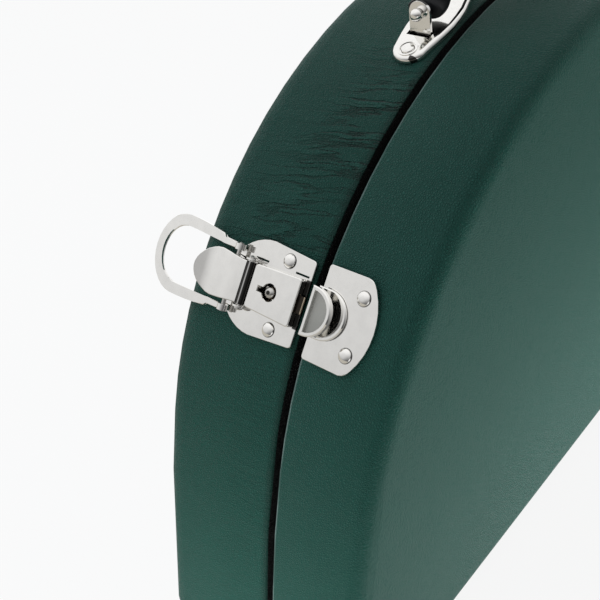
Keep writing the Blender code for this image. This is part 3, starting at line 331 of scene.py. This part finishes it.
def plated(name, colour, rough, cloudiness):
    """Polished metal with a faint cloudiness and hairline scratches. Its colour also carries painted shade and
    reflections in set places, and the catch dish's darker grey.
    """
    paint = Paint(name, Metallic=1.0)
    place = paint.place()
    cloud = paint.noise(place, 180.0, 3.0, 0.6)
    x, y, z = paint.split(place)
    hair = paint.noise(paint.join(x * 2600.0, y * 160.0, z * 2600.0), 1.0, 2.0)
    ripple = paint.noise(place, 95.0, 1.0)
    # painted shade and reflections, with the rivet rings
    dull = painted_shade_and_rings(paint, x, y, z)
    satin_and_shade = dish_satin_and_shade(paint, x, y, z)
    tint = paint.mix(cloud.step(0.3, 0.8), opaque(colour), opaque([part * 0.94 for part in colour]))
    # the dish's grey colour is painted shade; its roughness is the bead-blasted finish
    tint = paint.mix(satin_and_shade, tint, (0.42, 0.41, 0.38, 1.0))
    # near-black: the painted shade and the dark rivet rings
    tint = paint.mix(dull, tint, (0.010, 0.009, 0.008, 1.0))
    normal = paint.bump(ripple, 0.0006, 0.08)
    normal = paint.bump(hair, 0.00001, 0.25, normal)
    gloss = rough + cloudiness * cloud + 0.45 * satin_and_shade
    return paint.feed(Base_Color=tint, Roughness=gloss, Metallic=1.0 - 0.6 * satin_and_shade, Normal=normal)


def plush():
    """Short-pile lining with nap that lies in soft patches."""
    own = looks()
    paint = Paint("plush", Specular_IOR_Level=0.2, Sheen_Weight=0.5, Sheen_Roughness=0.4)
    place = paint.place()
    pile = paint.noise(place, 1400.0, 3.0, 0.7)
    nap = paint.noise(place, 22.0, 3.0)
    colour = paint.mix((nap * 0.6 + pile * 0.4).step(0.3, 0.7), opaque(own.plush_colour), (0.05, 0.05, 0.058, 1.0))
    normal = paint.bump(pile, 0.0004, 0.6)
    return paint.feed(Base_Color=colour, Roughness=0.82 + 0.15 * pile, Normal=normal)


def tongue_cloth():
    """Woven cloth over the strip inside the seam, near-black as painted shade for the seam's gap."""
    paint = Paint("tongue_cloth", Specular_IOR_Level=0.05)
    place = paint.place()
    x, y, z = paint.split(place)
    angle = x.math("ARCTAN2", z - ARC_Z) * RIM_RADIUS
    warp = (angle * 4200.0).math("SINE")
    weft = (y * 4200.0).math("SINE")
    weave = warp * weft * 0.5 + 0.5
    # near-black colour: painted shade of the seam's gap
    colour = paint.mix(weave, (0.0010, 0.0012, 0.0012, 1.0), (0.0028, 0.0032, 0.0030, 1.0))
    return paint.feed(Base_Color=colour, Roughness=0.7 + 0.2 * weave, Normal=paint.bump(weave, 0.0002, 0.5))


def finish_for(slot):
    """The material of a record slot, made once."""
    own = looks()
    makers = {
        "leather": leathercloth,
        "grip_leather": black_leather,
        "nickel": lambda: plated("polished_nickel", own.nickel_colour, 0.055, 0.05),
        "steel": lambda: plated("bright_steel", (0.60, 0.59, 0.57), 0.16, 0.12),
        "brass": lambda: plated("brass", (0.50, 0.41, 0.31), 0.22, 0.12),
        "plush": plush,
        "fibre": tongue_cloth,
    }
    found = bpy.data.materials.get(f"case_{slot}")
    if not found:
        found = makers[slot]()
        found.name = f"case_{slot}"
    return found


def slot_of(node):
    return next(row["material_slot"] for row in frame["record"]["subparts"] if row["node"] == node)


def body_of(node):
    bodies = frame["record"]["behaviour"]["bodies"]
    return next(body for body, nodes in bodies.items() if node in nodes)


def alone(piece):
    """Only this piece selected and active."""
    bpy.ops.object.select_all(action="DESELECT")
    piece.select_set(True)
    bpy.context.view_layer.objects.active = piece


def edit(piece):
    alone(piece)
    bpy.ops.object.mode_set(mode="EDIT")
    bpy.ops.mesh.select_all(action="SELECT")


def done():
    bpy.ops.object.mode_set(mode="OBJECT")


def modify(piece, kind, **settings):
    """Adds a modifier with these settings and applies it."""
    alone(piece)
    step = piece.modifiers.new(kind.lower(), kind)
    for key, value in settings.items():
        setattr(step, key, value)
    bpy.ops.object.modifier_apply(modifier=step.name)


def merged_copy(node, name):
    """A welded copy of a CAD node, ready to be finished."""
    piece = bpy.data.objects.new(name, frame["nodes"][node].data.copy())
    bpy.context.scene.collection.objects.link(piece)
    edit(piece)
    bpy.ops.mesh.remove_doubles(threshold=MERGE)
    bpy.ops.mesh.dissolve_limited(angle_limit=math.radians(1.5))
    done()
    return piece


def mount(piece, node):
    """The piece takes the node's place: its finish, its body and its look."""
    slot = slot_of(node)
    piece.data.materials.clear()
    piece.data.materials.append(finish_for(slot))
    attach(piece, body_of(node))
    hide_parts(node)
    return piece


def finished(node, edge=0.00012, segments=2):
    """A metal piece with its edges broken, shaded smooth over its rounds."""
    piece = merged_copy(node, f"{node}_finished")
    if edge:
        modify(piece, "BEVEL", width=edge, segments=segments, limit_method="ANGLE",
               angle_limit=math.radians(34.0), use_clamp_overlap=True)
    alone(piece)
    bpy.ops.object.shade_smooth_by_angle(angle=SMOOTH_ANGLE)
    modify(piece, "WEIGHTED_NORMAL", weight=100, keep_sharp=True)
    return mount(piece, node)


def both(name):
    return [f"{name}_left", f"{name}_right"]


class HORNCASE_OT_shells(bpy.types.Operator):
    """Cover the two shells and the tongue between them"""

    bl_idname = "horn_case.shells"
    bl_label = "Shells"

    def execute(self, context):
        for node in ("back_shell", "front_shell", "rim_tongue"):
            piece = merged_copy(node, f"{node}_cover")
            bpy.ops.object.shade_smooth_by_angle(angle=SMOOTH_ANGLE)
            mount(piece, node)
        return {"FINISHED"}


def plump(piece, voxel, pressure, cap):
    """Fills a padded piece: a fine mesh, blown up as cloth, with each point's travel capped."""
    modify(piece, "REMESH", mode="VOXEL", voxel_size=voxel)
    before = [vert.co.copy() for vert in piece.data.vertices]
    cloth = piece.modifiers.new("fill", "CLOTH")
    cloth.settings.use_pressure = True
    cloth.settings.uniform_pressure_force = pressure
    cloth.settings.effector_weights.gravity = 0.0
    for number in range(1, 21):
        bpy.context.scene.frame_set(number)
    alone(piece)
    bpy.ops.object.modifier_apply(modifier=cloth.name)
    bpy.context.scene.frame_set(1)
    for vert, start in zip(piece.data.vertices, before):
        travel = vert.co - start
        if travel.length > cap:
            vert.co = start + travel.normalized() * cap


def kept_inside(piece, low, high):
    """Holds each point between the two corners, where the shell's walls press the padding."""
    for vert in piece.data.vertices:
        for axis in range(3):
            vert.co[axis] = min(max(vert.co[axis], low[axis]), high[axis])


class HORNCASE_OT_linings(bpy.types.Operator):
    """Pad the fitted bed and the lid, covered in plush"""

    bl_idname = "horn_case.linings"
    bl_label = "Linings"

    def execute(self, context):
        for node in ("back_bed", "lid_pad"):
            piece = merged_copy(node, f"{node}_plush")
            plump(piece, looks().voxel, 4.0, 0.0025)
            kept_inside(piece, *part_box(node))
            modify(piece, "SMOOTH", factor=0.5, iterations=4)
            alone(piece)
            bpy.ops.object.shade_smooth()
            mount(piece, node)
        return {"FINISHED"}


class HORNCASE_OT_latches(bpy.types.Operator):
    """Finish both draw latches, their locks, bails and catches"""

    bl_idname = "horn_case.latches"
    bl_label = "Latches"

    def execute(self, context):
        plates = both("base_plate") + both("hook_plate") + both("lock_cover") + both("lock_bolt")
        for node in plates:
            finished(node, 0.00035, 3)
        for node in both("lever") + both("bail") + both("catch"):
            finished(node, 0.0003, 3)
        rounds = both("key_post") + both("lever_axle") + both("bail_axle") + both("rivet_upper")
        rounds += both("rivet_lower") + both("hook_rivet_upper") + both("hook_rivet_lower")
        for node in rounds:
            finished(node, 0.0)
        return {"FINISHED"}


class HORNCASE_OT_hinges(bpy.types.Operator):
    """Finish the two hinges under the flat side"""

    bl_idname = "horn_case.hinges"
    bl_label = "Hinges"

    def execute(self, context):
        for node in both("hinge_back") + both("hinge_front"):
            finished(node)
        for node in both("hinge_pin"):
            finished(node, 0.0)
        return {"FINISHED"}


class HORNCASE_OT_handle(bpy.types.Operator):
    """Finish the carrying handle, its plate and brackets"""

    bl_idname = "horn_case.handle"
    bl_label = "Handle"

    def execute(self, context):
        for node in ["handle_plate"] + both("handle_lug") + both("handle_end"):
            finished(node, 0.0002, 3)
        for node in both("handle_rivet"):
            finished(node, 0.0)
        grip = merged_copy("handle_grip", "handle_grip_leather")
        modify(grip, "SUBSURF", levels=2, render_levels=2)
        alone(grip)
        bpy.ops.object.shade_smooth()
        mount(grip, "handle_grip")
        return {"FINISHED"}


class HORNCASE_OT_feet(bpy.types.Operator):
    """Finish the feet under the case and the studs on its back"""

    bl_idname = "horn_case.feet"
    bl_label = "Feet and studs"

    def execute(self, context):
        for node in both("back_foot") + both("lid_foot") + both("upper_stud") + both("lower_stud"):
            finished(node, 0.0003)
        return {"FINISHED"}


DIFFUSE_SIDE = (-0.45, 0.65, 0.61)
DIFFUSE_TINT = (0.92, 0.99, 1.03)
GLOSSY_SIDE = (0.35, 0.45, 0.82)
FLOOR_RIGHT = (0.8, -0.6)
LAMPS = (
    ("back_fill", (-0.15, 0.70, 0.95), (-0.05, 0.05, 0.28), (0.6, 0.4), 2.0, (0.90, 1.0, 1.14)),
    ("low_fill", (-0.42, -0.04, 0.045), (-0.25, -0.02, 0.05), (0.2, 0.06), 12.0, (1.0, 1.0, 1.0)),
    ("front_fill", (0.70, -0.75, 0.36), (0.05, -0.06, 0.14), (0.8, 0.6), 2.4, (1.0, 1.0, 1.0)),
    ("low_front_fill", (0.02, -0.36, 0.04), (-0.04, -0.08, 0.04), (0.6, 0.08), 10.5, (1.0, 1.0, 1.0)),
)

CAMERA_PLACE = Vector((-0.40833, -0.25430, 0.46983))
CAMERA_RIGHT = Vector((0.63622, -0.76084, -0.12785))
CAMERA_UP = Vector((0.53906, 0.31983, 0.77918))
CAMERA_LENS = 57.37


def add_camera():
    """The photograph's viewpoint: the view is rolled, and the case runs out of it on the right."""
    camera = bpy.data.cameras.new("camera")
    camera.lens = CAMERA_LENS
    camera.sensor_width = 36.0
    camera.clip_start = 0.02
    camera.clip_end = 50.0
    holder = bpy.data.objects.new("camera", camera)
    back = CAMERA_RIGHT.cross(CAMERA_UP).normalized()
    turned = Matrix((CAMERA_RIGHT, CAMERA_UP, back)).transposed().to_4x4()
    holder.matrix_world = Matrix.Translation(CAMERA_PLACE) @ turned
    bpy.context.scene.collection.objects.link(holder)
    bpy.context.scene.camera = holder


def area_light(name, place, target, size, radiance, colour):
    """A soft lamp that isn't seen in reflections. The radiance is the brightness of its surface."""
    lamp = bpy.data.lights.new(name, "AREA")
    lamp.shape = "RECTANGLE"
    lamp.size, lamp.size_y = size
    lamp.energy = radiance * looks().light * math.pi * size[0] * size[1]
    lamp.color = colour
    holder = bpy.data.objects.new(name, lamp)
    holder.location = place
    holder.rotation_euler = (Vector(target) - Vector(place)).to_track_quat("-Z", "Y").to_euler()
    holder.visible_glossy = False
    bpy.context.scene.collection.objects.link(holder)
    return holder


def leave_out(lamps, floor):
    """These lamps light the case and not the floor, which stays even."""
    group = bpy.data.collections.new("not_lit_by_fills")
    group.objects.link(floor)
    for lamp in lamps:
        lamp.light_linking.receiver_collection = group
    for item in group.collection_objects:
        item.light_linking.link_state = "EXCLUDE"


def ray(paint, kind):
    return paint.node("ShaderNodeLightPath", output=kind)


def white_world():
    """White to the camera. Elsewhere a studio: bright behind and above, dim in front."""
    world = bpy.data.worlds.new("studio")
    bpy.context.scene.world = world
    world.use_nodes = True
    paint = Shading(world.node_tree)
    background = world.node_tree.nodes["Background"]
    x, y, z = paint.split(paint.node("ShaderNodeTexCoord", output="Generated"))

    def facing(side):
        return x * side[0] + y * side[1] + z * side[2]

    seen = ray(paint, "Is Camera Ray")
    shiny = ray(paint, "Is Glossy Ray")
    dull = 1.0 - seen - shiny
    level = facing(DIFFUSE_SIDE).step(0.10, 0.62, 0.06, 0.80)
    mirrored = facing(GLOSSY_SIDE).step(-0.70, 0.95, 0.05, 1.0)
    strength = level * dull + mirrored * shiny + seen
    tint = paint.mix(dull, (1.0, 1.0, 1.0, 1.0), opaque(DIFFUSE_TINT))
    world.node_tree.links.new(strength.socket, background.inputs["Strength"])
    world.node_tree.links.new(tint.socket, background.inputs["Color"])


def floor_material():
    """A white sweep that keeps the shadow. In reflections it glows, a painted pool of light that is warm and fades out
    to the right.
    """
    material = bpy.data.materials.new("white_floor")
    material.use_nodes = True
    tree = material.node_tree
    paint = Shading(tree)
    shader = tree.nodes["Principled BSDF"]
    shader.inputs["Base Color"].default_value = (0.92, 0.92, 0.92, 1.0)
    shader.inputs["Roughness"].default_value = 0.8
    glow = tree.nodes.new("ShaderNodeEmission")
    mix = tree.nodes.new("ShaderNodeMixShader")
    x, y, z = paint.split(paint.node("ShaderNodeTexCoord", output="Object"))
    right = x * FLOOR_RIGHT[0] + y * FLOOR_RIGHT[1]
    # a pool of painted light, seen only in reflections
    pool = right.step(-0.05, 0.52, 1.2, 0.35) * right.step(-0.32, -0.02, 0.42, 1.0)
    seen = ray(paint, "Is Camera Ray")
    shiny = ray(paint, "Is Glossy Ray")
    warm = paint.mix(right.step(-0.4, -0.1), (1.0, 0.95, 0.84, 1.0), (1.0, 1.0, 1.0, 1.0))
    colour = paint.mix(seen, warm, (1.0, 1.0, 1.0, 1.0))
    tree.links.new((seen * 0.90 + shiny).socket, mix.inputs[0])
    tree.links.new((seen + shiny * pool).socket, glow.inputs["Strength"])
    tree.links.new(colour.socket, glow.inputs["Color"])
    tree.links.new(shader.outputs[0], mix.inputs[1])
    tree.links.new(glow.outputs[0], mix.inputs[2])
    tree.links.new(mix.outputs[0], tree.nodes["Material Output"].inputs["Surface"])
    return material


class HORNCASE_OT_stage(bpy.types.Operator):
    """Set up the floor, the lamps and the camera"""

    bl_idname = "horn_case.stage"
    bl_label = "Studio"

    def execute(self, context):
        bpy.ops.object.select_all(action="DESELECT")
        bpy.ops.mesh.primitive_plane_add(size=12.0, location=(0.0, 0.0, 0.0))
        floor = context.active_object
        floor.name = "floor"
        floor.data.materials.append(floor_material())
        lamps = [area_light(*lamp) for lamp in LAMPS]
        leave_out(lamps[1:], floor)
        white_world()
        add_camera()
        context.scene.view_settings.view_transform = "Standard"
        return {"FINISHED"}


OPERATORS = (
    HORNCASE_OT_shells,
    HORNCASE_OT_linings,
    HORNCASE_OT_latches,
    HORNCASE_OT_hinges,
    HORNCASE_OT_handle,
    HORNCASE_OT_feet,
    HORNCASE_OT_stage,
)


class HORNCASE_PT_panel(bpy.types.Panel):
    """The case's finish and its steps"""

    bl_label = "Horn case"
    bl_space_type = "VIEW_3D"
    bl_region_type = "UI"
    bl_category = "Horn case"

    def draw(self, context):
        for name in CaseLooks.__annotations__:
            self.layout.prop(looks(), name)
        for operator in OPERATORS:
            self.layout.operator(operator.bl_idname)


CLASSES = (CaseLooks, *OPERATORS, HORNCASE_PT_panel)


def register():
    for item in CLASSES:
        bpy.utils.register_class(item)
    bpy.types.Scene.horn_case = PointerProperty(type=CaseLooks)


def unregister():
    del bpy.types.Scene.horn_case
    for item in reversed(CLASSES):
        bpy.utils.unregister_class(item)


def main():
    register()
    bpy.ops.horn_case.shells()
    bpy.ops.horn_case.linings()
    bpy.ops.horn_case.latches()
    bpy.ops.horn_case.hinges()
    bpy.ops.horn_case.handle()
    bpy.ops.horn_case.feet()
    bpy.ops.horn_case.stage()


if __name__ == "__main__":
    main()
